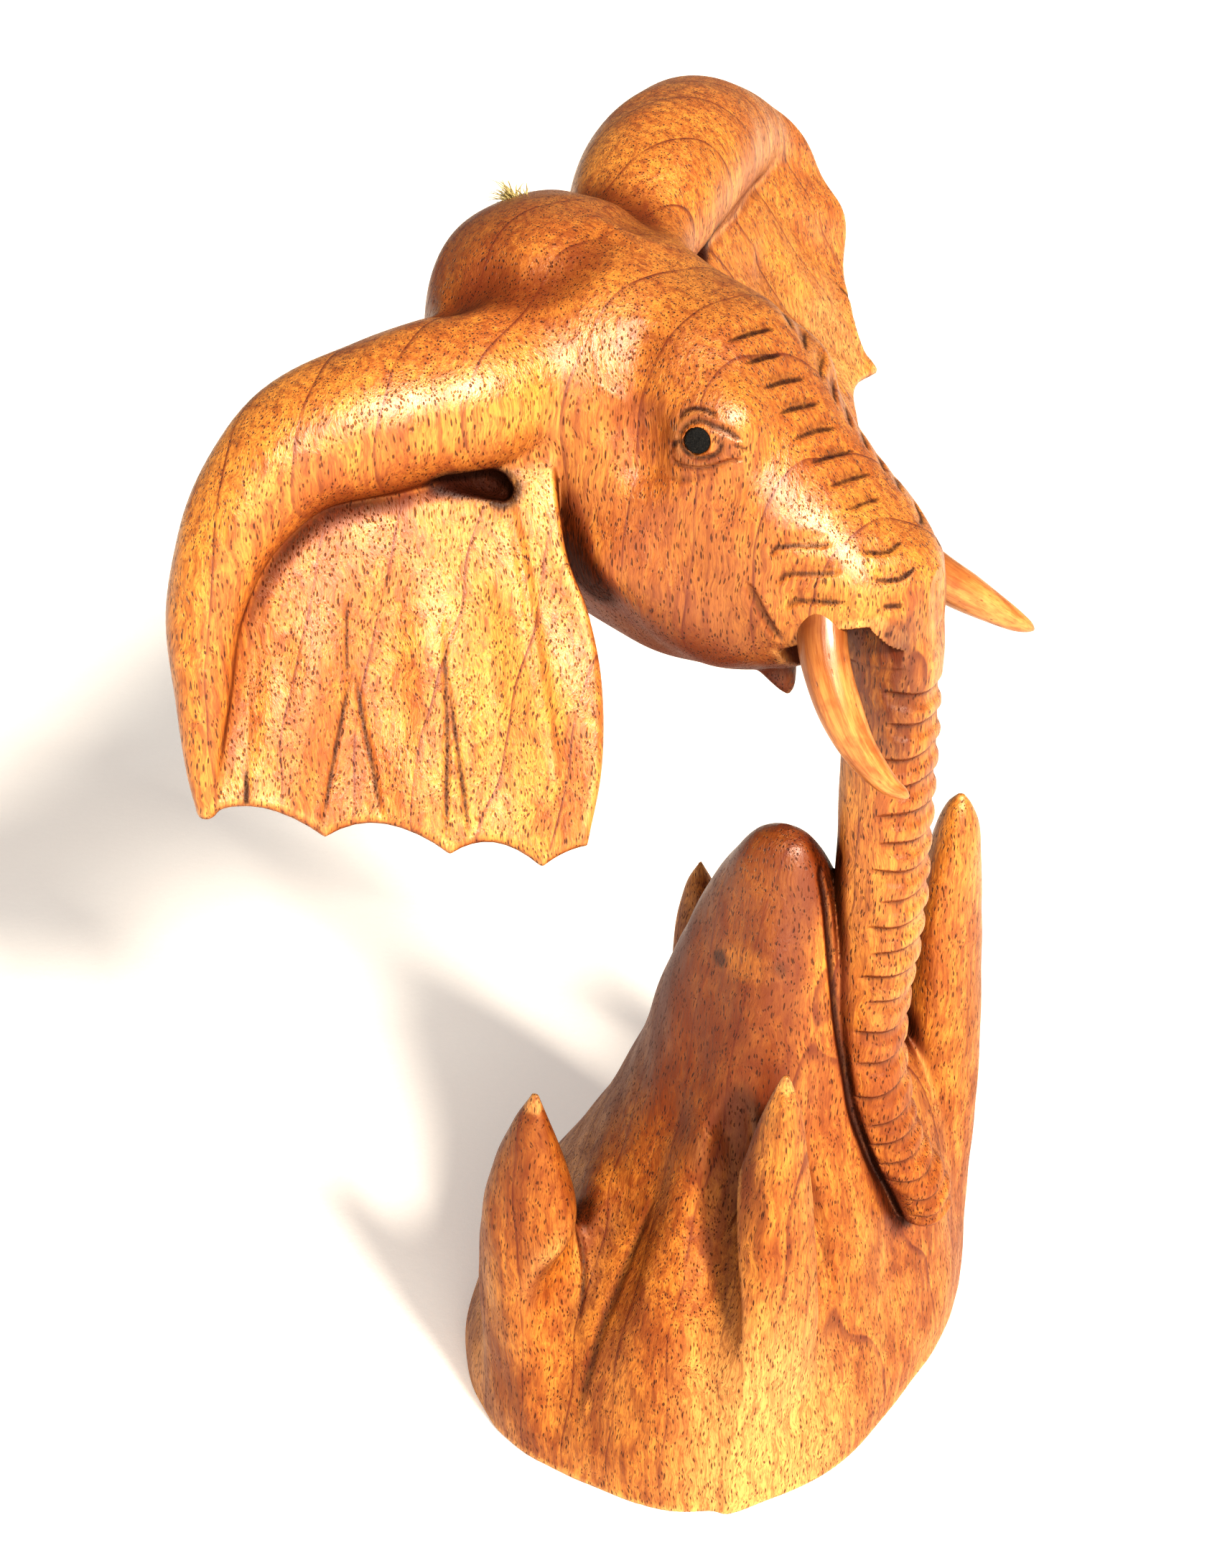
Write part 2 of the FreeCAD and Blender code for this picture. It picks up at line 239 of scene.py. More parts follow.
def flap(ear):
    """The thin hanging sheet of an ear, dished, with soft pleats and a scalloped lower edge."""
    o, out, down, front = [v.astype(np.float32) for v in axes_of(ear)]
    corners = on_ear(ear, [(w, d, n) for w in (-12, 80) for d in (-14, 68) for n in (-14, 6)])
    cell = 0.5
    gu = np.arange(-18, 86, cell)
    gv = np.arange(-20, 74, cell)
    table = polygon_distance(*np.meshgrid(gu, gv, indexing="ij"), flap_outline(ear)).astype(np.float32)

    def fn(x, y, z):
        x, y, z = x - o[0], y - o[1], z - o[2]
        u = x * out[0] + y * out[1] + z * out[2]
        v = x * down[0] + y * down[1] + z * down[2]
        n = x * front[0] + y * front[1] + z * front[2]
        fu = np.clip((u - gu[0]) / cell, 0, len(gu) - 1.001)
        fv = np.clip((v - gv[0]) / cell, 0, len(gv) - 1.001)
        iu, iv = fu.astype(int), fv.astype(int)
        tu, tv = fu - iu, fv - iv
        edge = ((table[iu, iv] * (1 - tu) + table[iu + 1, iv] * tu) * (1 - tv)
                + (table[iu, iv + 1] * (1 - tu) + table[iu + 1, iv + 1] * tu) * tv)
        dish = 3 * np.sin(np.pi * np.clip((u + 12) / 84, 0, 1))
        fan = (u - 20) / (40 + np.maximum(v, -10)) * 60
        wave = 0.8 * np.sin(fan * 0.33 + 0.6) * ease((v - 5) / 30)
        half = 3 - 0.9 * ease((v - 5) / 50)
        s = np.abs(n + 2.9 + dish - wave) - half
        r = 1.6
        return (np.minimum(np.maximum(s + r, edge + r), 0)
                + np.sqrt(np.maximum(s + r, 0) ** 2 + np.maximum(edge + r, 0) ** 2) - r)
    return fn, corners.min(0), corners.max(0)


# ---------------------------------------------------------------- the parts of the carving
# trunk sections: (level, centre x, centre y, half x, half y)
TRUNK = [(45.8, 12.2, -42, 4.6, 4.6), (48, 12.2, -42, 6, 6.2), (52, 11.4, -41.2, 6.9, 7),
         (58, 9.4, -39.4, 7.4, 7.6), (66, 6.2, -35.8, 7.8, 8.1), (75, 3.5, -33.6, 8, 8.3),
         (85, 1.6, -31.9, 8.2, 8.5), (95, 0.5, -30.8, 8.3, 8.6), (106, 0, -31.2, 8.4, 8.7),
         (118, 0, -32.4, 8.4, 8.7), (131, 0, -33, 8.4, 8.7), (160, 0, -33, 8.5, 8.7),
         (176, 0, -32.7, 8.8, 8.7), (186, 0, -32, 9.4, 8.8), (198, 0, -28.5, 11, 9)]
# the carver's rings: (how many, how far apart) down the straight trunk, round the bend and at the tip
RING_TOP = 176.5
RING_RUNS = ((11, 6.1), (4, 7.5), (5, 5.7))
# head sections along y, the rest along z
HEAD = [(-39.5, 0, 195, 4, 5), (-37, 0, 195.5, 9.5, 8.5), (-31, 0, 196.4, 15.5, 12),
        (-24, 0, 198.5, 18.5, 16), (-14, 0, 201.8, 21, 25.2),
        (-3, 0, 207.5, 23.5, 33), (11, 0, 210.5, 26, 35.5),
        (27, 0, 218, 28, 35.5), (42, 0, 224.5, 26, 31), (53, 0, 230.5, 20, 20.5), (58, 0, 233.5, 9, 9)]
SNOUT = [(184, 0, -26.5, 16.2, 11.6), (190, 0, -26.6, 16.8, 12.4), (197, 0, -25.2, 16.8, 12.2),
         (204, 0, -22.4, 15.3, 10.9), (211, 0, -18.6, 13, 9), (218, 0, -14, 11, 7), (223, 0, -11, 8, 4)]
LOWER_LIP = [(192, 0, 1, 13, 10), (184, 0, -4, 10, 8.4), (178.5, 0, -6.9, 7.4, 6.2), (173.5, 0, -9.2, 4.3, 4),
             (170, 0, -11, 1.9, 1.9), (168.4, 0, -11.8, 0.3, 0.3)]
FOOT = [(-4, 24, -24, 30, 20.5), (12, 24, -24.5, 29.5, 20.5), (30, 24, -25, 25, 18), (50, 24, -26, 18, 14),
        (70, 24, -27, 10, 8), (80, 24, -27, 3, 3)]
MOUND = [(-4, 2, 5, 51.5, 47), (2, 2, 5, 52.5, 48), (14, 2.5, 4.5, 53, 47.5), (34, 3, 2, 48, 42),
         (58, 2, -4, 35.5, 33), (82, 1, -8, 26, 25), (104, -1.5, -10.5, 19.5, 20),
         (122, -4, -12.8, 13.2, 15.3), (135, -6.5, -14.5, 8, 10), (142, -8, -15.5, 4, 5.6),
         (144.3, -8, -16, 1, 1.5)]
RIGHT_LEAF = [(-4, -34, 16, 13, 17), (20, -37, 17, 12, 18), (40, -40, 19, 9.5, 15.8),
              (60, -42.5, 20.4, 7.6, 11.6), (76, -44, 20.2, 5.6, 7.2),
              (86, -44.8, 19.6, 3.2, 4), (93.5, -45, 18.6, 0.6, 0.8)]
FRONT_LEAF = [(-4, -30.5, -18.5, 14.6, 14.5), (25, -31, -20.5, 14.5, 15), (48, -31.8, -23.5, 12.2, 13),
              (70, -32.6, -26, 9, 9.4), (88, -33.2, -28, 5.9, 6), (99, -33.6, -28.9, 3.7, 3.7),
              (107.5, -34, -29.4, 0.6, 0.7)]
TALL_LEAF = [(-4, 41, -26.5, 17, 15.5), (12, 41, -27.2, 16.2, 14.6), (30, 41.5, -29.2, 14.4, 12.6),
             (60, 41.4, -32.2, 12.7, 9.7), (90, 40, -33.4, 12, 7.6), (112, 37.5, -34.2, 9, 5.9),
             (126, 35.8, -35.5, 5.2, 4.6), (132, 35, -35.8, 2.8, 2.8), (135, 34.6, -36, 0.8, 0.8)]
BACK_LEAF = [(-4, 35, 14, 13, 14), (30, 36.5, 16, 12, 13), (55, 37, 19, 9.6, 10.5), (78, 36, 21, 6.8, 7.2),
             (94, 35.3, 21.8, 3.6, 4), (102, 35, 22, 0.6, 0.6)]
# limbs of (x, y, z, radius): the ridge down the mound's front, the foot of the right leaf, the low swell
# between the two front hollows, and the hollows themselves
RIDGE = [(-8.5, -15, 138.5, 3), (-11.6, -16, 120, 7), (-14.8, -16, 100, 9.5), (-18.5, -14.5, 80, 11)]
LEAF_FOOT = [(-25, 12, 58, 5), (-30, 11, 46, 9), (-33, 10, 32, 11)]
FRONT_SWELL = [(-17, -6.5, 86, 5), (-21.5, -7.5, 68, 9), (-27.5, -8, 50, 12.5), (-32, -8.5, 34, 14.5),
               (-34.5, -8.5, 20, 14.5), (-35, -8.5, -4, 13)]
RIGHT_HOLLOW = [(-29, 0.5, 82, 2.6), (-34.5, 3.6, 67, 5.4), (-40.5, 6.4, 55, 7), (-48, 9, 43, 7.8),
                (-54, 11, 28, 7.4), (-57, 12, 15, 5.8), (-59, 12.5, 4, 4)]
FRONT_HOLLOW = [(-30, -16, 98, 3.2), (-31.5, -16.2, 82, 6), (-37, -16.4, 67, 6.8), (-43.5, -18.6, 53, 6.8),
                (-49.5, -20.6, 40, 6.4), (-53.5, -22.5, 28, 5), (-55.5, -23.5, 17, 3.5)]
EYEBALL = (18.6, -0.8, 225)
# edge of the upper lip: how far forward, and its level there
LIP = ((16.5, 20, 25, 29, 33, 36.3, 40), (185.7, 187.6, 191, 193.2, 193.6, 189, 184.5))


def under_lip(x, y, z):
    """The hollow under the upper lip, either side of the trunk, where the tusks come out."""
    d = smax((z - np.interp(-y, *LIP)).astype(np.float32), 8.9 - np.abs(x), 1.2)
    d = smax(d, y + 15.5 + 0.25 * (190 - z), 2)
    d = smax(d, -43 - y, 0.5)
    return smax(d, 160 - z, 0.5)


def parts_of_base():
    """Each step joins or cuts a solid, blended over the width in its third place."""
    return [
        ("join", lathe(2, MOUND, 2.3), 0),
        ("join", lathe(2, FOOT, 2.4), 8),
        ("join", limb(RIDGE), 6),
        ("join", lathe(2, RIGHT_LEAF), 5),
        ("join", limb(LEAF_FOOT), 6),
        ("join", limb(FRONT_SWELL), 9),
        ("join", lathe(2, FRONT_LEAF, 1.35, 23), 2.5),
        ("join", lathe(2, TALL_LEAF), 4),
        ("join", lathe(2, BACK_LEAF), 5),
        ("cut", limb(RIGHT_HOLLOW), 9),
        ("cut", limb(FRONT_HOLLOW), 2.5),
        ("join", lathe(2, TRUNK, 2.6), 0.8),
    ]


def parts_of_head():
    parts = [("join", lathe(1, HEAD, 2.35), 0)]
    # the brow bulges round each eye
    for x in CHEEKS:
        parts.append(("join", egg((x * 14.6, -1.6, 225.2), (7.6, 10, 8.6)), 6))
    parts.append(("join", lathe(2, SNOUT, 2.7), 5))
    # jaw, lower lip, then the dips at the temple and behind the mouth
    for p in both([(-19, 12, 201, 9), (-17, 2, 194, 8.5), (-13.5, -5, 187, 6.5)]):
        parts.append(("join", limb(p), 8))
    parts.append(("join", lathe(2, LOWER_LIP, 1.4), 3))
    for p in both([(-25.5, 7.5, 226), (-26.5, 6, 220)]):
        parts.append(("cut", pipe(p, 4.2), 7))
    for p in both([(-27.5, -9, 216), (-28.5, -13, 207), (-28.5, -17.5, 199)]):
        parts.append(("cut", pipe(p, 5.6), 6))
    parts.append(("cut", (under_lip, np.array([-26, -44, 159]), np.array([26, -14, 195])), 0.6))
    for x in CHEEKS:
        parts.append(("join", egg((x * EYEBALL[0],) + EYEBALL[1:], (4.9, 5.2, 4.4)), 0.8))
    for ear in EARS.values():
        parts.append(("join", limb([ear["root"]] + [tuple(p) for p in on_ear(ear, ear["fold"])]), 9))
        parts.append(("join", flap(ear), 2))
    return parts


PARTS = (parts_of_base(), parts_of_head())


def combine(parts, x, y, z):
    d = np.full(x.shape, FAR, dtype=np.float32)
    for how, (fn, low, high), k in parts:
        pad = k + 3.5
        m = ((x > low[0] - pad) & (x < high[0] + pad) & (y > low[1] - pad) & (y < high[1] + pad)
             & (z > low[2] - pad) & (z < high[2] + pad))
        i = np.flatnonzero(m)
        if len(i) == 0:
            continue
        s = fn(x[i], y[i], z[i]).astype(np.float32)
        d[i] = smin(d[i], s, k) if how == "join" else smax(d[i], -s, k)
    return d


# slow swells left by the knife: (wavelength, direction, phase)
SWELL_HEIGHT = 0.055
SWELLS = [(rng.uniform(9, 26), unit(rng.normal(size=3) * (1, 1, 0.6)), rng.uniform(0, 6.28))
          for _ in range(10)]


def forms(p):
    """Distance to the carving's surface, without its cut lines."""
    x, y, z = [np.ascontiguousarray(p[:, i], dtype=np.float32) for i in range(3)]
    d = smin(combine(PARTS[0], x, y, z), combine(PARTS[1], x, y, z), 2)
    for wave, way, phase in SWELLS:
        d += SWELL_HEIGHT * np.sin((x * way[0] + y * way[1] + z * way[2]) * (2 * math.pi / wave) + phase)
    return smax(d, -z, 1.2)


# ---------------------------------------------------------------- cut lines
LINES = []


def slope(fn, p, h):
    g = np.empty((len(p), 3))
    for i in range(3):
        e = np.zeros(3)
        e[i] = h
        g[:, i] = fn(p + e) - fn(p - e)
    return g / np.maximum(np.linalg.norm(g, axis=1)[:, None], 1e-9)


def snapped(p):
    for _ in range(6):
        g = slope(forms, p, 0.4)
        p = p - g * np.clip(forms(p), -3, 3)[:, None] * 0.85
    return p


def score(points, width, depth, fade=0.35, stain=1):
    """Notes one carved line: its path, half width, depth, how long its ends fade and how dark it is."""
    LINES.append((curve([tuple(q) for q in points], 1), width, depth, fade, stain))


def settle():
    """Lays every noted line on the surface."""
    counts = [len(line[0]) for line in LINES]
    every = snapped(np.vstack([line[0] for line in LINES]))
    start = 0
    for i, n in enumerate(counts):
        LINES[i] = (every[start:start + n],) + LINES[i][1:]
        start += n


def cuts(p, blur=0):
    """How deep the lines cut at each point, and how dark they are there: stain in the cuts, and painted shade
    where a line only darkens a hollow. blur widens them.
    """
    depth_sum = np.zeros(len(p), dtype=np.float32)
    stain_sum = np.zeros(len(p), dtype=np.float32)
    p32 = p.astype(np.float32)
    for path, width, depth, fade, stain in LINES:
        reach = (width + blur) * 2.6
        low, high = path.min(0) - reach, path.max(0) + reach
        box = np.flatnonzero(np.all((p32 > low) & (p32 < high), axis=1))
        if len(box) == 0:
            continue
        q = p32[box]
        n = len(path)
        t = np.linspace(0, 1, n)
        size = np.ones(n)
        if fade > 0:
            size = np.clip(np.minimum(t, 1 - t) / fade, 0, 1)
            size = 0.12 + 0.88 * size * (2 - size)
        best = np.full(len(q), 1e9, dtype=np.float32)
        grow = np.zeros(len(q), dtype=np.float32)
        p_line = path.astype(np.float32)
        for a, b, sa, sb in zip(p_line[:-1], p_line[1:], size[:-1], size[1:]):
            ab = b - a
            near = np.flatnonzero(np.all(np.abs(q - (a + b) / 2) < np.abs(ab) / 2 + reach, axis=1))
            if len(near) == 0:
                continue
            w = q[near] - a
            h = np.clip(w @ ab / max(float(ab @ ab), 1e-9), 0, 1)
            dist = ((w - h[:, None] * ab) ** 2).sum(1)
            better = dist < best[near]
            near = near[better]
            best[near] = dist[better]
            grow[near] = (sa + (sb - sa) * h)[better]
        wide = np.maximum(width * (0.6 + 0.4 * grow), 0.05) + blur
        depth_sum[box] += depth * grow * np.exp(-best / wide ** 2)
        stain_sum[box] = np.maximum(stain_sum[box], 1.15 * stain * grow * np.exp(-best / wide ** 2))
    return depth_sum, stain_sum


def carving(p):
    return forms(p) + cuts(p)[0]


def eye_frame(x):
    """Middle of the pupil, forward along the face, up the face, and outward, on one side of the head."""
    outward = unit((x * 0.91, -0.38, 0.10))
    forward = unit(np.cross(outward, (0, 0, 1)) * x * -1)
    if forward[1] > 0:
        forward = -forward
    up = unit(np.cross(forward, outward))
    if up[2] < 0:
        up = -up
    return np.array([x * 22.9, -3, 225.4]), forward, up, outward


# lines about the eye, as points forward of the pupil and above it, then half width, depth, fade and stain
EYE_LINES = (
    # rim of the opening: upper lid to the inner corner, then round under the ball
    (((-4, 0.3), (-3.4, 2), (-1.6, 3.3), (0.6, 3.5), (2.8, 2.7), (5, 1.9), (7.8, 0.2)), 0.46, 1.5, 0.10, 1),
    (((-4, 1), (-3.9, -0.9), (-2.6, -2.5), (-0.5, -3.2), (1.8, -2.9), (3.6, -1.8), (4.3, 0.4)),
     0.40, 1.2, 0.12, 1),
    # crease over the lid and the spot at its outer end
    (((-4.4, 3.4), (-3.3, 5.2), (-0.9, 6.1), (1.5, 5.6), (3, 4.3)), 0.40, 1.1, 0.15, 1),
    (((-4.5, 3.3), (-4.1, 4.4)), 0.5, 0.8, 0.2, 0.9),
    # folds under the eye
    (((-6.6, -2.8), (-5.4, -1.2), (-4, -0.3)), 0.45, 0.6, 0.3, 0.7),
    (((-6.4, -3), (-6, -4.6), (-3.4, -5), (-0.4, -5.4), (2.6, -4.8), (5.4, -3.6), (8.6, -3)),
     0.38, 0.8, 0.3, 0.55),
    (((5.6, -0.2), (7.6, -1), (9.6, -1.8)), 0.40, 0.45, 0.3, 0.5),
    (((-8.6, -6), (-5, -7.2), (-1, -7.4), (3, -6.4)), 0.9, 0.3, 0.4, 0.25),
)


def eye_lines(x):
    centre, forward, up, outward = eye_frame(x)
    for pairs, *how in EYE_LINES:
        score([centre + forward * a + up * b for a, b in pairs], *how)


def face_lines(x):
    def m(*pts):
        return [(x * p[0],) + tuple(p[1:]) for p in pts]
    # soft valley over the crown and down the temple
    crown = m((-27, 45, 238), (-22, 40, 246), (-20.5, 32, 247.5), (-15, 26, 249), (-9, 24.5, 252),
              (-1, 23, 252))
    score(crown, 5, 1.8, 0.12, 0.12)
    score(crown, 0.48, 0.45, 0.2, 0.9)
    score(m((-15, 11, 243), (-21, 10, 236), (-25, 10, 229)), 4, 0.9, 0.35, 0)
    # corner of the mouth
    score(m((-21.5, -12.4, 200), (-20.8, -14.9, 194.6), (-18.4, -17.6, 188.6)), 0.6, 2.4, 0.2, 0.95)
    # gouged wrinkles over the bridge of the nose, each from its outer end to its inner one
    for outer, inner, depth in bridge_wrinkles():
        shift = 0 if x == 1 else 2.1
        a, b = outer, inner
        if x == -1:
            b = np.array((-7.5, b[1] - 0.6, b[2] + 0.2))
            a = a - (4.5, 0, 0)
        mid = (a + b) / 2 + (0, -0.8, 0.9)
        path = [(x * q[0], q[1], q[2] - shift) for q in (a, mid, b)]
        score(path, 0.50, depth * 1.15, 0.36, 1)
        score([(q[0], q[1], q[2] + 1.3) for q in path], 1.1, 0.45, 0.3, 0.25)
    for path, depth in snout_folds():
        score(m(*path), 0.50, depth * 1.15, 0.24, 1)
        score([(x * q[0], q[1], q[2] + 1.2) for q in path], 1, 0.4, 0.3, 0.2)


def bridge_wrinkles():
    """Evenly stepped gouge strokes down the nose: outer end, inner end and depth of each."""
    outer, step, across = (np.array(v) for v in ((-10.5, -2.5, 239.6), (0.1, -3.2, -4), (12.5, -2.8, -1.7)))
    for i in range(8):
        short = i in (1, 7)
        yield outer + step * i, outer + step * i + across * (0.78 if short else 1), 0.8 if i < 2 else 1.15


def snout_folds():
    """Three folds on the side of the upper lip and three across its front: path and depth of each."""
    side, front = np.array((-21, -16, 205.5)), np.array((-12.5, -30, 206.3))
    for i in range(3):
        start = side + np.array((0, -1.7, -5)) * i
        yield [start, start + (0.5, -2, 2.2), start + (5, -9.8, 2.8)], 1.15
        start = front + np.array((-0.8, -2.8, -4.4)) * i
        fold = [start, start + (4.1, -3.2, -0.8), start + (8, -4.6, 0.2)]
        yield fold[:2] if i == 2 else fold, 0.95


def trunk_lines():
    t = np.array(TRUNK, dtype=np.float64)
    levels = np.cumsum([0] + [pitch for count, pitch in RING_RUNS for _ in range(count)])
    for i, z in enumerate(RING_TOP - levels):
        cx, cy, rx, ry = [np.interp(z, t[:, 0], t[:, k]) for k in (1, 2, 3, 4)]
        lean = 1.6 if z < 90 else (-1.2 if z > 168 else 0.4)
        start = (-80, -74, -84, -68)[i % 4]
        arc = []
        for a in np.linspace(start, 96 - (i % 3) * 5, 7):
            r = math.radians(a)
            level = z + lean * math.sin(r) + 0.35 * math.sin(3 * r + i)
            arc.append((cx + rx * math.sin(r), cy - ry * math.cos(r), level))
        score(arc, 0.60, 2.2, 0.12, 1)
        score([(p[0], p[1], p[2] - 1.3) for p in arc], 1.25, 0.9, 0.22, 0.12)


# lines on an ear's flap, as points out and down on it, then half width, depth, fade and stain
EAR_LINES = (
    # along the foot of the fold
    (((6, -3), (14, -3.5), (28, -3), (38, -0.5), (47, 6), (52, 15), (54, 28), (56, 44)),
     2.4, 0.6, 0.12, 0.12),
    (((50, 8), (53, 17), (54.5, 28), (56, 40), (57, 51)), 0.45, 0.6, 0.1, 0.9),
    # knife cuts between the pleats
    (((35.5, 26), (39, 38), (43.8, 55.8)), 0.45, 1, 0.3, 0.8),
    (((35.5, 27), (35, 40), (33.8, 54.5)), 0.45, 0.95, 0.3, 0.8),
    (((36.2, 14), (36.6, 22), (37, 30)), 0.4, 0.4, 0.3, 0.5),
    (((19.5, 20), (20.5, 40), (22.2, 60.5)), 0.45, 0.95, 0.3, 0.8),
    (((19.6, 30), (18.6, 45), (17.6, 59.5)), 0.42, 0.8, 0.3, 0.8),
    # broad shallow pleats
    (((7, -1), (5, 14), (3.4, 32), (2, 50)), 1.1, 0.8, 0.3, 0.12),
    (((27, 8), (28.5, 26), (29, 44)), 3, 0.5, 0.3, 0.1),
    (((47, 20), (49, 34), (53, 50)), 3, 0.6, 0.3, 0.1),
    (((12, 14), (12, 34), (12.5, 54)), 3, 0.6, 0.3, 0.1),
)
LEFT_RIB = ((31, 13), (40, 37), (48.5, 60))
RIB_HALF_GAP = 2.2
# lines on the base, as points on the carving, then the same four
BASE_LINES = (
    # the deep lines down both sides of the trunk
    (((-8.5, -25, 141), (-9.5, -27, 117), (-8, -30, 94), (-4, -34, 73), (9.5, -40.5, 45)),
     0.75, 1.5, 0.05, 1),
    (((9, -24.5, 139), (10, -26, 106), (12, -31, 78), (19.5, -40, 48)), 0.9, 2.6, 0.06, 0.9),
    # crease right of the front leaf, crack beside the right leaf, line down the inner side of the swell
    (((-23.5, -30.5, 84), (-20, -30.5, 71), (-18, -33, 58), (-18.1, -35.5, 44)), 1, 1.5, 0.35, 0.35),
    (((-33.5, 13, 62), (-37.9, 10.6, 53), (-41.6, 10.3, 43.5), (-43.5, 10.6, 37)), 0.45, 1.3, 0.3, 1),
    (((-32, 1.6, 66), (-36, 3.6, 55), (-42, 5.6, 44), (-47.5, 7, 31), (-49.5, 8, 15)), 1.1, 0.9, 0.3, 0.45),
    (((-31.5, -15.6, 88), (-29.5, -16, 74), (-33, -16, 62)), 1.4, 0.6, 0.4, 0.2),
    # painted shade along the two front hollows: lines that darken without cutting
    (((-31, 4.5, 66), (-37, 7.5, 54), (-43, 9.5, 42), (-48, 12, 28)), 4.5, 0, 0.3, 0.24),
    (((-31.5, -17, 86), (-30.5, -17.5, 74), (-35, -18.5, 60), (-40.5, -20.5, 46), (-43.5, -22.5, 34)),
     4.5, 0, 0.35, 0.22),
)


def ear_lines(ear):
    def g(pts, width, depth, fade, stain):
        score(on_ear(ear, [(w, d, -1.5) for w, d in pts]), width, depth, fade, stain)
    for line in EAR_LINES:
        g(*line)
    if ear is EARS["left"]:
        # two long ribs side by side across the flap
        for shift in (-RIB_HALF_GAP, RIB_HALF_GAP):
            g([(w + shift, d) for w, d in LEFT_RIB], 0.75, 1.5, 0.12, 0.95)
        g(LEFT_RIB, 6.5, 1, 0.12, 0.12)


for side in CHEEKS:
    face_lines(side)
    eye_lines(-side)
for ear in EARS.values():
    ear_lines(ear)
for line in BASE_LINES:
    score(*line)
trunk_lines()
settle()

# deep pocket under each ear's fold, its inside darkened with painted shade: (out, down, front, radius)
POCKET = [(7.8, -2.4, -3.4, 1.9), (9.4, -3.6, -3.6, 2.6), (13, -4.8, -3, 2.3), (18, -5.6, -1.4, 1.2)]
for ear in EARS.values():
    pocket = on_ear(ear, POCKET)
    PARTS[1].append(("cut", limb([tuple(q) for q in pocket]), 2.4))
    # painted shade inside the pocket: a line that darkens without cutting
    LINES.append((pocket[:, :3], 3.4, 0, 0, 1))


# ---------------------------------------------------------------- from distances to a mesh
def carve():
    """Works the carving out on a grid that is fine only near the surface, and meshes it."""
    shape = np.ceil((HIGH - LOW) / COARSE).astype(int)
    index = np.stack(np.meshgrid(*[np.arange(n) for n in shape], indexing="ij"), -1).reshape(-1, 3)
    value = forms(LOW + (index + 0.5) * COARSE)
    sign = np.where(value.reshape(shape) < 0, -1, 1).astype(np.float32)
    near = index[(value > -3.4) & (value < 2.4)]
    step = COARSE
    corner = np.stack(np.meshgrid([0, 1], [0, 1], [0, 1], indexing="ij"), -1).reshape(-1, 3)
    while step > FINE * 1.01:
        step /= 2
        near = (near[:, None, :] * 2 + corner).reshape(-1, 3)
        spots = LOW + (near + 0.5) * step
        value = forms(spots)
        if step > FINE * 1.01:
            reach = step * 0.87 + FINE * 1.2 + 0.25
            cut = cuts(spots, 0.7 * step)[0]
            near = near[(value < reach) & (value > -reach - np.where(cut > 0.1, 4, 0))]
        else:
            value += cuts(spots)[0]
    times = int(round(COARSE / step))
    dense = sign.repeat(times, 0).repeat(times, 1).repeat(times, 2) * np.float32(2 * step)
    dense[near[:, 0], near[:, 1], near[:, 2]] = np.clip(value, -2 * step, 2 * step)
    grid = openvdb.FloatGrid(2 * step)
    grid.copyFromArray(dense)
    points, triangles, quads = grid.convertToPolygons(isovalue=0.0, adaptivity=0.0)
    return LOW + (points.astype(np.float64) + 0.5) * step, triangles, quads


def mesh_object(name, points, faces, smooth=True):
    mesh = bpy.data.meshes.new(name)
    mesh.from_pydata([tuple(p) for p in points], [], [tuple(int(i) for i in f) for f in faces])
    mesh.update()
    obj = bpy.data.objects.new(name, mesh)
    bpy.context.scene.collection.objects.link(obj)
    if smooth:
        mesh.polygons.foreach_set("use_smooth", [True] * len(mesh.polygons))
    return obj


def quad_mesh(name, points, quads):
    mesh = bpy.data.meshes.new(name)
    mesh.vertices.add(len(points))
    mesh.vertices.foreach_set("co", points.astype(np.float32).ravel())
    mesh.loops.add(quads.size)
    mesh.loops.foreach_set("vertex_index", quads.astype(np.int32).ravel())
    mesh.polygons.add(len(quads))
    mesh.polygons.foreach_set("loop_start", np.arange(0, quads.size, quads.shape[1], dtype=np.int32))
    mesh.update(calc_edges=True)
    mesh.validate()
    obj = bpy.data.objects.new(name, mesh)
    bpy.context.scene.collection.objects.link(obj)
    return obj


def applied(obj):
    """Bakes the modifiers into the object's mesh."""
    graph = bpy.context.evaluated_depsgraph_get()
    mesh = bpy.data.meshes.new_from_object(obj.evaluated_get(graph))
    obj.modifiers.clear()
    obj.data = mesh
    return mesh


MAX_FACES = 300000


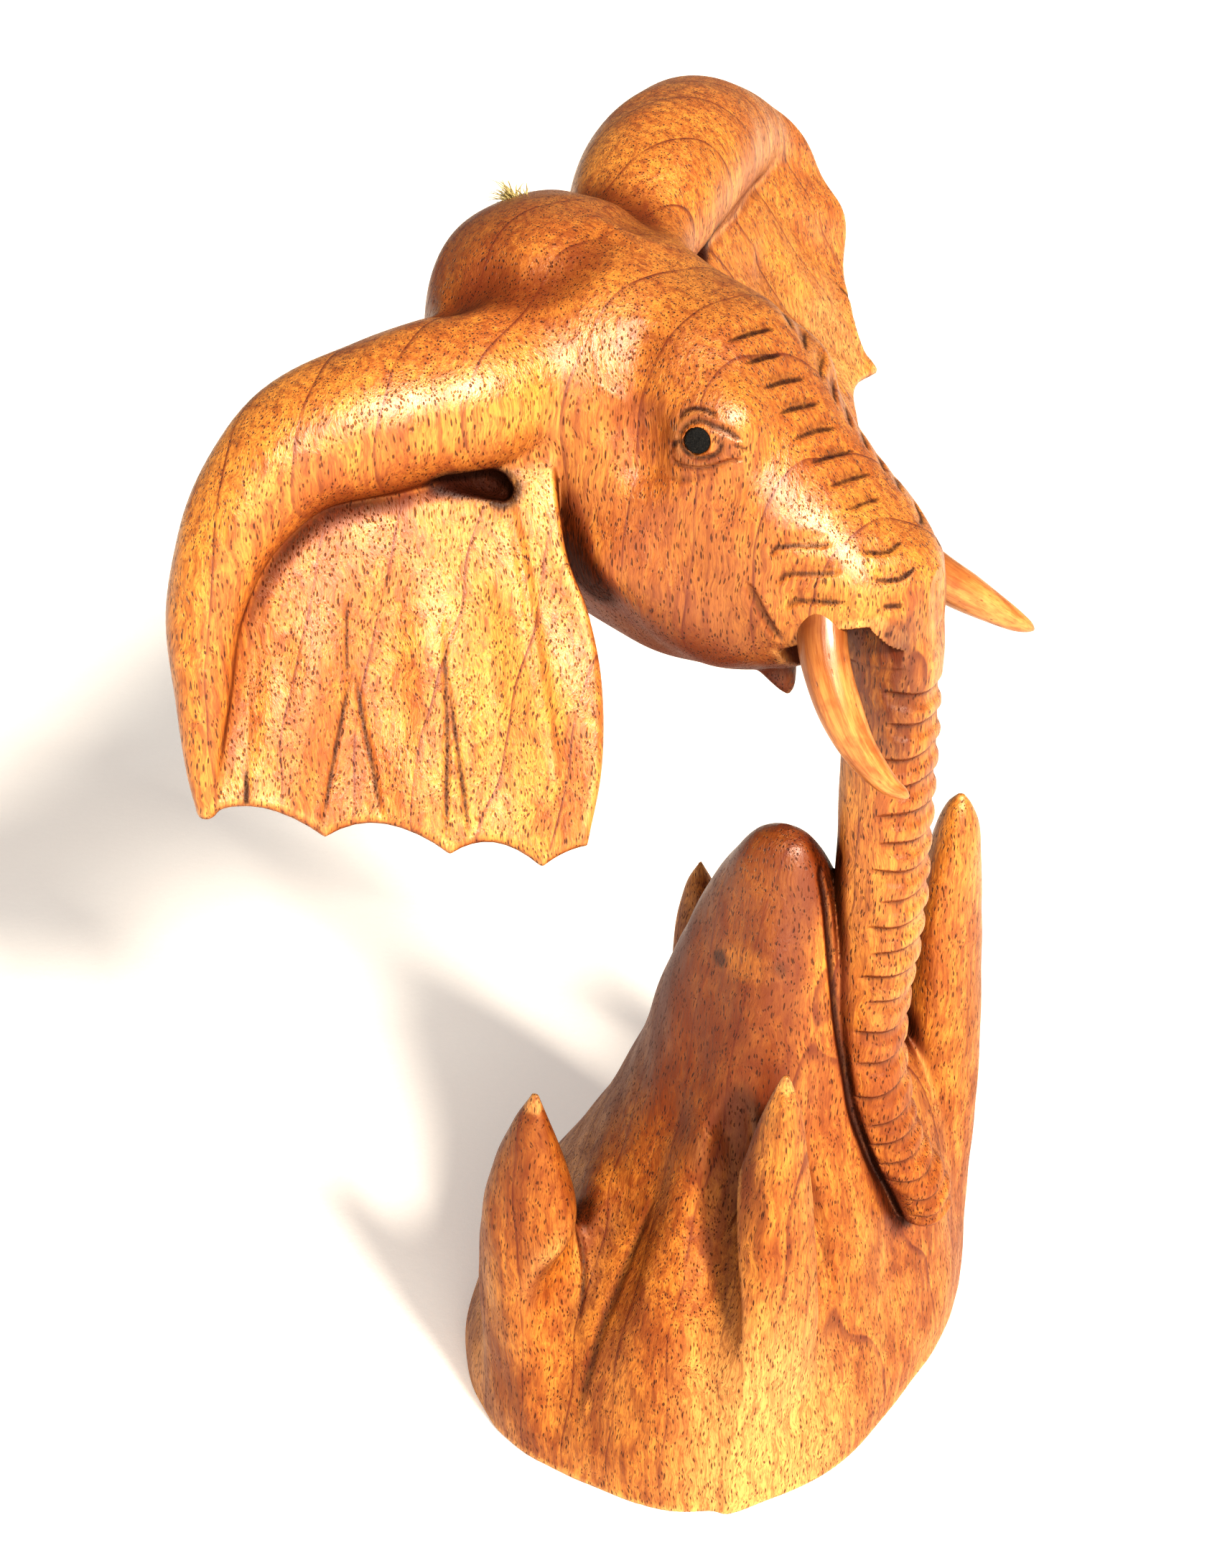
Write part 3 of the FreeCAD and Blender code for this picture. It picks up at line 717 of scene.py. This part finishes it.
def make_elephant():
    points, triangles, quads = carve()
    obj = quad_mesh("carved_elephant", points * MM, quads)
    faces = 2 * len(quads)
    if faces > MAX_FACES:
        # the plain surface is thinned first, the cut lines keep their fine mesh
        keep = cuts(points)[1] > 0.3
        plain = obj.vertex_groups.new(name="plain")
        plain.add(np.flatnonzero(~keep).tolist(), 1, "REPLACE")
        plain.add(np.flatnonzero(keep).tolist(), 0.25, "REPLACE")
        thin = obj.modifiers.new("thin", "DECIMATE")
        thin.ratio = MAX_FACES / faces
        thin.vertex_group = "plain"
        thin.vertex_group_factor = 0.000002
        applied(obj)
    mesh = obj.data
    n = len(mesh.vertices)
    co = np.empty(n * 3, dtype=np.float32)
    mesh.vertices.foreach_get("co", co)
    p = co.reshape(-1, 3).astype(np.float64) / MM
    normal = slope(carving, p, 0.2)
    flat = p[:, 2] < 0.3
    normal[flat] = (0, 0, -1)
    # what the material needs: how dark the lines make each point (stain, and painted shade in the front
    # hollows and ear pockets), and how hollow, exposed and downward-facing it is
    masks = {"stain": cuts(p)[1], "hollow": 1 - forms(p + normal * 5) / 5,
             "worn": 1 + forms(p - normal * 2.2) / 2.2, "under": -normal[:, 2]}
    for name, values in masks.items():
        layer = mesh.attributes.new(name, "FLOAT", "POINT")
        layer.data.foreach_set("value", np.clip(values, 0, 1).astype(np.float32))
    mesh.polygons.foreach_set("use_smooth", [True] * len(mesh.polygons))
    mesh.normals_split_custom_set_from_vertices(normal.astype(np.float32))
    return obj


# ---------------------------------------------------------------- materials
def srgb(r, g, b):
    """A colour as the eye names it, 0 to 255, turned linear."""
    def line(c):
        c /= 255
        return c / 12.92 if c <= 0.04045 else ((c + 0.055) / 1.055) ** 2.4
    return (line(r), line(g), line(b), 1)


class Graph:
    """A material's nodes, each call adding one and returning its output."""

    def __init__(self, name):
        self.material = bpy.data.materials.new(name)
        self.material.use_nodes = True
        self.tree = self.material.node_tree
        self.shader = next(n for n in self.tree.nodes if n.type == "BSDF_PRINCIPLED")

    def feed(self, socket, value):
        if isinstance(value, bpy.types.NodeSocket):
            self.tree.links.new(value, socket)
        elif value is not None:
            socket.default_value = value

    def node(self, kind, settings=None, **inputs):
        made = self.tree.nodes.new(kind)
        for key, value in (settings or {}).items():
            setattr(made, key, value)
        for key, value in inputs.items():
            self.feed(made.inputs[key.replace("_", " ")], value)
        return made

    def math(self, how, a, b=None, clamp=False):
        made = self.node("ShaderNodeMath", {"operation": how, "use_clamp": clamp})
        self.feed(made.inputs[0], a)
        self.feed(made.inputs[1], b)
        return made.outputs[0]

    def product(self, first, *others):
        for value in others:
            first = self.math("MULTIPLY", first, value)
        return first

    def sum(self, first, *others, clamp=False):
        for value in others:
            first = self.math("ADD", first, value, clamp)
        return first

    def vector(self, how, a, b=None, out=0):
        made = self.node("ShaderNodeVectorMath", {"operation": how})
        self.feed(made.inputs[0], a)
        self.feed(made.inputs[1], b)
        return made.outputs[out]

    def scaled(self, vector, by):
        return self.vector("MULTIPLY", vector, by)

    def noise(self, vector, scale=1, detail=2, rough=0.5, out="Fac"):
        made = self.node("ShaderNodeTexNoise", Vector=vector, Scale=scale, Detail=detail, Roughness=rough)
        return made.outputs[out]

    def grain(self, vector, stretch, detail=3, rough=0.6):
        return self.noise(self.scaled(vector, stretch), 1, detail, rough)

    def drift(self, vector, scale, rough, reach):
        """The place pushed about by slow noise."""
        push = self.vector("SUBTRACT", self.noise(vector, scale, 2, rough, "Color"), (0.5, 0.5, 0.5))
        return self.vector("ADD", vector, self.scaled(push, reach))

    def dashes(self, vector, stretch, size, share, channel=0):
        """Short dark pores, one to a cell: their core and rim, and the share of cells that hold none."""
        cell = self.node("ShaderNodeTexVoronoi", Vector=self.scaled(vector, stretch), Scale=1)
        held = self.between(self.separate(cell.outputs["Color"])[channel], *share)
        return self.product(self.between(cell.outputs["Distance"], *size, 1, 0), held)

    def between(self, value, low, high, to_low=0, to_high=1, smooth=True):
        made = self.node("ShaderNodeMapRange", {"interpolation_type": "SMOOTHSTEP" if smooth else "LINEAR"})
        self.feed(made.inputs["Value"], value)
        for key, number in (("From Min", low), ("From Max", high), ("To Min", to_low), ("To Max", to_high)):
            self.feed(made.inputs[key], number)
        return made.outputs["Result"]

    def mix(self, factor, a, b):
        made = self.node("ShaderNodeMix", {"data_type": "RGBA"})
        self.feed(made.inputs["Factor"], factor)
        self.feed(made.inputs[6], a)
        self.feed(made.inputs[7], b)
        return made.outputs[2]

    def paint(self, tint, *masks):
        """Lays a tint over the colour so far, where all the masks are."""
        self.colour = self.mix(self.product(*masks), self.colour, tint)

    def attribute(self, name, out="Fac"):
        return self.node("ShaderNodeAttribute", {"attribute_name": name}).outputs[out]

    def position(self):
        """Object coordinates in millimetres."""
        return self.scaled(self.node("ShaderNodeTexCoord").outputs["Object"], (1000, 1000, 1000))

    def separate(self, vector):
        return self.node("ShaderNodeSeparateXYZ", Vector=vector).outputs

    def bump(self, height, distance, strength):
        made = self.node("ShaderNodeBump", Height=height, Distance=distance, Strength=strength)
        return made.outputs["Normal"]

    def set(self, **inputs):
        for key, value in inputs.items():
            self.feed(self.shader.inputs[key.replace("_", " ")], value)


AMBER = srgb(214, 147, 64)
HONEY = srgb(180, 106, 40)
RUSSET = srgb(114, 52, 18)
PORE = srgb(70, 24, 6)
RING = srgb(104, 38, 14)
CREVICE = srgb(46, 15, 5)
PALE = srgb(230, 176, 108)
UMBER = srgb(92, 46, 30)
IRIS = srgb(214, 132, 48)
# the heart of the log, the width of its rings, and places in millimetres
PITH = (-40, -110, 0)
RING_WIDTH = 11
EYE_PLACE = (22.9, -3, 225.4)
PALE_PLACE = (-43, -36, 6)
BETWEEN_KNOTS = (-18, -8.4, 118.4)
KNOTS = ((-18.2, -7.8, 117.8), (-17.2, -19.9, 119))


def wood_material():
    g = Graph("lacquered_wood")
    p = g.position()
    x, y, z = g.separate(p)
    side = g.math("ABSOLUTE", x)
    # growth rings: distance from the heart of the log, wavering slowly
    bent = g.scaled(g.drift(p, 0.022, 0.45, (13, 13, 0)), (1, 1, 0.05))
    from_heart = g.vector("DISTANCE", bent, PITH, out=1)
    turn = g.math("FRACT", g.math("DIVIDE", from_heart, RING_WIDTH))
    late = g.between(turn, 0.45, 1)
    # a ring fades where the surface lies flat along it, so it doesn't close into a loop
    outwards = g.vector("SUBTRACT", bent, PITH)
    facing = g.vector("DOT_PRODUCT", g.node("ShaderNodeTexCoord").outputs["Normal"], outwards, out=1)
    ring = g.product(g.between(turn, 0.93, 0.99), g.between(turn, 0.99, 1, 1, 0),
                     g.between(g.math("DIVIDE", facing, from_heart), 0.86, 0.96, 1, 0))
    # long streaks, pores as short dashes along the grain, slow blotches
    grain = g.drift(p, 0.12, 0.5, (3, 3, 0))
    streak = g.grain(grain, (0.75, 0.75, 0.035), 4, 0.55)
    fine = g.grain(grain, (3.2, 3.2, 0.22))
    mottle = g.grain(grain, (0.75, 0.75, 0.20), 3, 0.65)
    blotch = g.grain(p, (0.034, 0.034, 0.022), 3, 0.55)
    cloud = g.grain(p, (0.16, 0.16, 0.08))
    pore = g.dashes(grain, (1.35, 1.35, 0.26), (0.10, 0.28), (0.45, 0.65))
    shifted = g.vector("ADD", grain, (7.3, 3.1, 1.7))
    small = g.dashes(shifted, (2.2, 2.2, 0.42), (0.12, 0.34), (0.25, 0.5), 1)
    pores = g.math("MAXIMUM", pore, g.product(small, 0.85))
    stain, hollow, worn, under = [g.attribute(name) for name in ("stain", "hollow", "worn", "under")]

    tone = g.sum(g.product(blotch, 0.8), g.product(cloud, 0.5), g.product(streak, 0.5),
                 g.product(mottle, 0.35))
    g.colour = g.mix(g.between(tone, 0.90, 1.30), AMBER, HONEY)
    # the base is redder and duller than the head, most of all its mound
    low = g.between(z, 60, 160, 1, 0)
    g.paint(RUSSET, low, g.between(cloud, 0.3, 0.7, 0.12, 0.55))
    g.paint(RUSSET, g.between(z, 50, 95), g.between(z, 146, 150, 1, 0), g.between(y, -27, -23.5),
            g.between(x, 8, 14, 1, 0), g.between(cloud, 0.3, 0.7, 0.7, 0.97))
    # painted shade: the jaw, the back of the crown and every underside are darkened where they turn away from
    # the light
    jaw = g.product(g.between(z, 172, 222, 1, 0.22), g.between(z, 158, 166),
                    g.between(y, -20, -8), g.between(side, 30, 26))
    back = g.product(g.between(z, 222, 240), g.between(y, 24, 44), g.between(side, 30, 22), 0.6)
    g.paint(RUSSET, g.math("MAXIMUM", jaw, back), 0.95)
    g.paint(RUSSET, g.between(under, 0.05, 0.8), 0.85)
    g.paint(RUSSET, late, 0.16)
    g.paint(RING, ring, g.between(cloud, 0.30, 0.62, 0.35, 0.9))
    # pale outer wood low on the front of the base
    patch = g.scaled(g.drift(p, 0.022, 0.45, (20, 20, 30)), (1, 1, 0.55))
    g.paint(PALE, g.between(g.vector("DISTANCE", patch, PALE_PLACE, out=1), 12, 32, 0.7, 0))
    # worn ridges lighter; the hollows darker, partly stain gathered there and partly painted shade, near
    # black deep in them
    g.paint(PALE, g.between(worn, 0.06, 0.45), 0.55)
    g.paint(RUSSET, g.between(hollow, 0.06, 0.5), g.between(cloud, 0.25, 0.7, 0.7, 1), 0.9)
    g.paint(CREVICE, g.between(hollow, 0.34, 0.85, 0, 0.9))
    # painted shade on the recessed side of the trunk under the lip, over the darker unfinished wood there
    g.paint(UMBER, g.between(z, 158, 168), g.between(z, 192, 196, 1, 0), g.between(y, -41, -37.5),
            g.between(side, 12.5, 15.5, 1, 0), g.between(mottle, 0.3, 0.7, 0.55, 0.95))
    # two knots on the mound, paler wood between them
    near = g.vector("DISTANCE", g.scaled(p, (1, 0.6, 1)), BETWEEN_KNOTS, out=1)
    g.paint(AMBER, g.between(near, 2, 5, 0.35, 0))
    for knot in KNOTS:
        spot = g.sum(g.vector("DISTANCE", p, knot, out=1), g.product(mottle, 1.6))
        g.paint(CREVICE, g.between(spot, 1.6, 3.4, 0.9, 0))
    # the iris, and the reddish lid round it
    mirrored = g.node("ShaderNodeCombineXYZ", X=side, Y=y, Z=z).outputs[0]
    iris = g.sum(g.vector("DISTANCE", mirrored, EYE_PLACE, out=1), g.product(mottle, 1.5))
    g.paint(RUSSET, g.between(iris, 4.6, 9, 0.6, 0))
    g.paint(IRIS, g.between(iris, 3.1, 4.4, 0.6, 0))
    # fine grain, pores and the dark of the cut lines, which also carries the painted shade laid in the front
    # hollows and the ear pockets
    g.paint(RUSSET, g.between(mottle, 0.46, 0.68), 0.32)
    g.paint(RUSSET, g.between(fine, 0.42, 0.66), 0.5)
    g.paint(RUSSET, g.between(streak, 0.48, 0.66), 0.32)
    g.paint(PORE, pores, 0.85)
    g.paint(CREVICE, g.between(stain, 0.08, 0.5), g.between(mottle, 0.25, 0.6, 0.75, 1), 0.9)

    rough_cut = g.product(g.noise(p, 1.3, 2, 0.6), g.between(stain, 0.05, 0.6), 1.6)
    height = g.sum(g.math("SUBTRACT", g.product(fine, 0.35), pores), rough_cut, g.product(streak, 0.8),
                   g.product(mottle, 0.9))
    rough = g.sum(g.between(cloud, 0.3, 0.7, 0.36, 0.48), g.product(pores, 0.25))
    rough = g.sum(rough, g.product(stain, 0.25), g.product(low, 0.08), clamp=True)
    # less polish in the hollows, underneath and on the base
    dry = g.math("MAXIMUM", g.math("MAXIMUM", under, hollow), g.math("MAXIMUM", stain, g.product(low, 0.5)))
    g.set(Base_Color=g.colour, Roughness=rough, Normal=g.bump(height, 0.00026, 0.9), IOR=1.45,
          Specular_IOR_Level=g.between(dry, 0, 0.8, 0.7, 0.08, smooth=False),
          Coat_Weight=g.between(dry, 0, 0.7, 0.45, 0, smooth=False), Coat_Roughness=0.36,
          Coat_Normal=g.bump(height, 0.00012, 0.7))
    return g.material


def tusk_material():
    g = Graph("tusk_wood")
    p = g.attribute("along", "Vector")
    streak = g.grain(p, (0.8, 0.8, 0.06), 4)
    fine = g.grain(p, (3, 3, 0.2))
    cloud = g.noise(p, 0.22, 3, 0.55)
    pores = g.dashes(p, (1.1, 1.1, 0.32), (0.08, 0.22), (0.5, 0.7))
    root = g.between(g.separate(p)[2], 2, 16, 0.6, 0)
    g.colour = g.mix(g.between(streak, 0.35, 0.65), srgb(208, 146, 82), srgb(170, 106, 52))
    g.paint(srgb(140, 72, 28), g.between(cloud, 0.5, 0.72, 0, 0.5))
    g.paint(srgb(128, 64, 26), g.between(fine, 0.45, 0.7), 0.35)
    g.paint(srgb(86, 44, 20), pores, 0.6)
    g.paint(srgb(110, 54, 22), root)
    height = g.math("SUBTRACT", g.sum(g.product(fine, 0.4), g.product(streak, 0.8)), pores)
    g.set(Base_Color=g.colour, Roughness=g.between(cloud, 0.3, 0.7, 0.30, 0.42),
          Normal=g.bump(height, 0.00012, 0.8), IOR=1.5, Coat_Weight=0.25, Coat_Roughness=0.22)
    return g.material


def pupil_material():
    g = Graph("pupil_black")
    p = g.position()
    fibre = g.noise(p, 3.2, 3, 0.65)
    colour = g.mix(g.between(fibre, 0.42, 0.75), srgb(9, 8, 8), srgb(46, 42, 38))
    g.set(Base_Color=colour, Roughness=g.between(fibre, 0.3, 0.7, 0.5, 0.8),
          Normal=g.bump(fibre, 0.0003, 0.9), Specular_IOR_Level=0.25)
    return g.material


def fibre_material():
    g = Graph("plant_fibre")
    p = g.position()
    tint = g.noise(p, 0.9, 2)
    colour = g.mix(g.between(tint, 0.3, 0.7), srgb(206, 190, 136), srgb(146, 128, 78))
    g.set(Base_Color=colour, Roughness=0.8, Normal=g.bump(g.noise(p, 6), 0.0001, 0.6))
    return g.material


def floor_material():
    g = Graph("pale_backdrop")
    p = g.position()
    weave = g.noise(p, 0.5, 4, 0.6)
    soft = g.noise(p, 0.012, 3, 0.5)
    colour = g.mix(g.between(soft, 0.3, 0.7), srgb(244, 240, 236), srgb(238, 232, 227))
    height = g.sum(g.product(weave, 0.15), soft)
    g.set(Base_Color=colour, Roughness=0.9, Normal=g.bump(height, 0.002, 0.5),
          Emission_Color=(1, 0.93, 0.88, 1), Emission_Strength=0.36)
    return g.material


# ---------------------------------------------------------------- the separate pieces
# stations of (x, y, z, radius) from root to tip
TUSKS = {
    "right_tusk": [(-14.5, -24, 194, 4.4), (-17.6, -26, 188, 4.4), (-19.6, -29.5, 180.5, 4.1),
                   (-19.8, -34, 172.5, 3.3), (-18.4, -39, 166, 2.2), (-16.8, -42, 163.4, 1.2),
                   (-16.2, -43, 162.6, 0.4)],
    "left_tusk": [(14.5, -27, 195, 4.4), (19, -31.5, 190, 4.4), (23.5, -36, 185.5, 3.9),
                  (27.6, -40.5, 181.2, 3.1), (31.2, -44.5, 177.6, 2.1), (33.3, -46.7, 175.8, 1.2),
                  (34.2, -47.6, 175, 0.4)],
}
PUPIL_RADIUS = 2.25
PUPIL_DEPTH = 2.2


def ring_quads(start, rows, sides):
    """Faces between rings of points that follow one another."""
    turn = [(j, (j + 1) % sides) for j in range(sides)]
    return [(a + j, a + k, a + sides + k, a + sides + j)
            for a in range(start, start + (rows - 1) * sides, sides) for j, k in turn]


def sweep(name, path, sides, wobble, seed):
    """A closed tube along (x, y, z, radius) with rounded ends, which keeps its straightened coordinates."""
    local = np.random.default_rng(seed)
    n = len(path)
    along = np.concatenate([[0], np.cumsum(np.linalg.norm(np.diff(path[:, :3], axis=0), axis=1))])
    way = np.gradient(path[:, :3], axis=0)
    way /= np.linalg.norm(way, axis=1)[:, None]
    side = np.cross(way[0], (0.3, 0.2, 1))
    points, straight = [], []
    three, five, slow = local.uniform(0, 6.28, 4)[:3]
    for i in range(n):
        side = side - way[i] * (side @ way[i])
        side /= np.linalg.norm(side)
        other = np.cross(way[i], side)
        for j in range(sides):
            a = 2 * math.pi * j / sides
            facets = math.sin(3 * a + three + 0.15 * along[i]) + math.sin(5 * a + five - 0.22 * along[i])
            r = path[i, 3] * (1 + wobble * (facets + 0.7 * math.sin(0.5 * along[i] + slow)))
            points.append(path[i, :3] + side * (r * math.cos(a)) + other * (r * math.sin(a)))
            straight.append((r * math.cos(a), r * math.sin(a), along[i]))
    faces = ring_quads(0, n, sides)
    root = path[0, :3] - way[0] * path[0, 3] * 0.25
    point = path[-1, :3] + way[-1] * path[-1, 3] * 0.6
    for i, tip in ((0, root), (n - 1, point)):
        c = len(points)
        points.append(tip)
        straight.append((0, 0, along[i]))
        for j in range(sides):
            k = (j + 1) % sides
            faces.append((c, i * sides + k, i * sides + j) if i == 0 else (c, i * sides + j, i * sides + k))
    obj = mesh_object(name, np.array(points) * MM, faces)
    layer = obj.data.attributes.new("along", "FLOAT_VECTOR", "POINT")
    layer.data.foreach_set("vector", np.array(straight, dtype=np.float32).ravel())
    return obj


def make_pupil(name, x):
    """A short dark plug, its face slightly domed and fibrous, set a little below the rim."""
    centre, forward, up, outward = eye_frame(x)
    rings, sides = 14, 48
    faces = []
    noise = np.random.default_rng(5)
    bumps = [(noise.uniform(1.2, 3.6), noise.uniform(0, 6.28), noise.uniform(0, 6.28)) for _ in range(9)]
    points = [centre + outward * 0.25]
    for i in range(1, rings + 1):
        r = PUPIL_RADIUS * i / rings
        for j in range(sides):
            a = 2 * math.pi * j / sides
            u, v = r * math.cos(a), r * math.sin(a)
            h = 0.30 * (1 - (r / PUPIL_RADIUS) ** 2)
            for f, turn, phase in bumps:
                h += 0.018 * math.sin(f * 2.2 * (u * math.cos(turn) + v * math.sin(turn)) + phase)
            if i == rings:
                h -= 0.15
            points.append(centre + forward * u + up * v + outward * h)
    for j in range(sides):
        a = 2 * math.pi * j / sides
        rim = (forward * math.cos(a) + up * math.sin(a)) * PUPIL_RADIUS
        points.append(centre + rim - outward * PUPIL_DEPTH)
    points.append(centre - outward * PUPIL_DEPTH)
    for j in range(sides):
        k = (j + 1) % sides
        faces.append((0, 1 + j, 1 + k))
        for i in range(rings):
            a, b = 1 + i * sides, 1 + (i + 1) * sides
            faces.append((a + j, b + j, b + k, a + k))
        faces.append((len(points) - 1, 1 + rings * sides + k, 1 + rings * sides + j))
    return mesh_object(name, np.array(points) * MM, faces)


def make_tuft():
    """A frayed end of plant fibre standing out of the crown."""
    foot = np.array([2.5, 46, 254.2])
    lean = unit((-0.32, 0.55, 0.77))
    local = np.random.default_rng(21)
    points, faces = [], []
    sides = 5
    for strand in range(80):
        base = foot + np.append(local.normal(size=2) * 0.8, -1.4)
        way = unit(lean + local.normal(size=3) * 0.42)
        length = local.uniform(3, 6.2)
        sag = local.normal(size=3) * 0.6
        rows = []
        for t in np.linspace(0, 1, 7):
            mid = base + way * length * t + sag * t * t * 1.8 + np.array([0, 0, -1.2]) * t ** 3
            rows.append(np.append(mid, 0.16 * (1 - t) ** 0.7 + 0.04))
        start = len(points)
        for row in rows:
            for j in range(sides):
                a = 2 * math.pi * j / sides
                points.append(row[:3] + np.array([math.cos(a), math.sin(a), 0.2 * math.cos(a)]) * row[3])
        faces += ring_quads(start, len(rows), sides)
        faces.append(tuple(start + j for j in reversed(range(sides))))
        faces.append(tuple(start + (len(rows) - 1) * sides + j for j in range(sides)))
    return mesh_object("crown_fibres", np.array(points) * MM, faces)


def finish_piece(obj, material, node):
    obj.data.materials.clear()
    obj.data.materials.append(material)
    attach(obj, "root")
    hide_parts(node)


# holes for the pupil plugs, then the mesh
for side in CHEEKS:
    centre, forward, up, outward = eye_frame(side)
    PARTS[1].append(("cut", pipe([centre - outward * 2, centre + outward * 4], 2.3), 0.35))

elephant = make_elephant()
finish_piece(elephant, wood_material(), "elephant_carving")
ivory = tusk_material()
for name, stations in TUSKS.items():
    tusk = sweep(name + "_piece", curve(stations, 0.7), 40, 0.012, 3)
    finish_piece(tusk, ivory, name)
black = pupil_material()
for node, x in (("right_eye_pupil", -1), ("left_eye_pupil", 1)):
    finish_piece(make_pupil(node + "_piece", x), black, node)
finish_piece(make_tuft(), fibre_material(), "crown_fibre_tuft")

# ---------------------------------------------------------------- floor, light and camera
floor = mesh_object("floor", [(-4, -4, 0), (4, -4, 0), (4, 4, 0), (-4, 4, 0)], [(0, 1, 2, 3)], smooth=False)
floor.data.materials.append(floor_material())


def light(kind, name, azimuth, elevation, power, colour, **settings):
    """A light turned to shine from an azimuth and elevation towards the middle of the object."""
    a, e = math.radians(azimuth), math.radians(elevation)
    data = bpy.data.lights.new(name, kind)
    data.energy = power
    data.color = colour
    distance = settings.pop("distance", 0)
    for key, value in settings.items():
        setattr(data, key, value)
    lamp = bpy.data.objects.new(name, data)
    way = np.array([math.cos(e) * math.cos(a), math.cos(e) * math.sin(a), math.sin(e)])
    lamp.location = MIDDLE + way * distance
    lamp.rotation_euler = (math.pi / 2 - e, 0, a + math.pi / 2)
    bpy.context.scene.collection.objects.link(lamp)


MIDDLE = np.array((0, 0, 0.14))
light("SUN", "key", -121, 37, 5.9, (1, 0.94, 0.82), angle=math.radians(10))
light("AREA", "front", -142, 26, 9, (1, 0.95, 0.84), distance=1.3, shape="DISK", size=0.6)
light("AREA", "left_fill", 150, 35, 1, (1, 0.97, 0.94), distance=1.6, shape="DISK", size=1.2)

world = bpy.data.worlds.new("studio")
world.use_nodes = True
sky = world.node_tree.nodes["Background"]
sky.inputs["Color"].default_value = (1, 0.975, 0.94, 1)
sky.inputs["Strength"].default_value = 0.33
bpy.context.scene.world = world
bpy.context.scene.view_settings.view_transform = "Standard"
bpy.context.scene.view_settings.gamma = 0.77

camera_data = bpy.data.cameras.new("camera")
camera_data.lens = 56.04
camera_data.sensor_width = 36
camera_data.clip_end = 50
camera = bpy.data.objects.new("camera", camera_data)
camera.location = (-0.3748, -0.1719, 0.383)
camera.rotation_euler = (math.radians(60), 0, math.radians(-62))
bpy.context.scene.collection.objects.link(camera)
bpy.context.scene.camera = camera
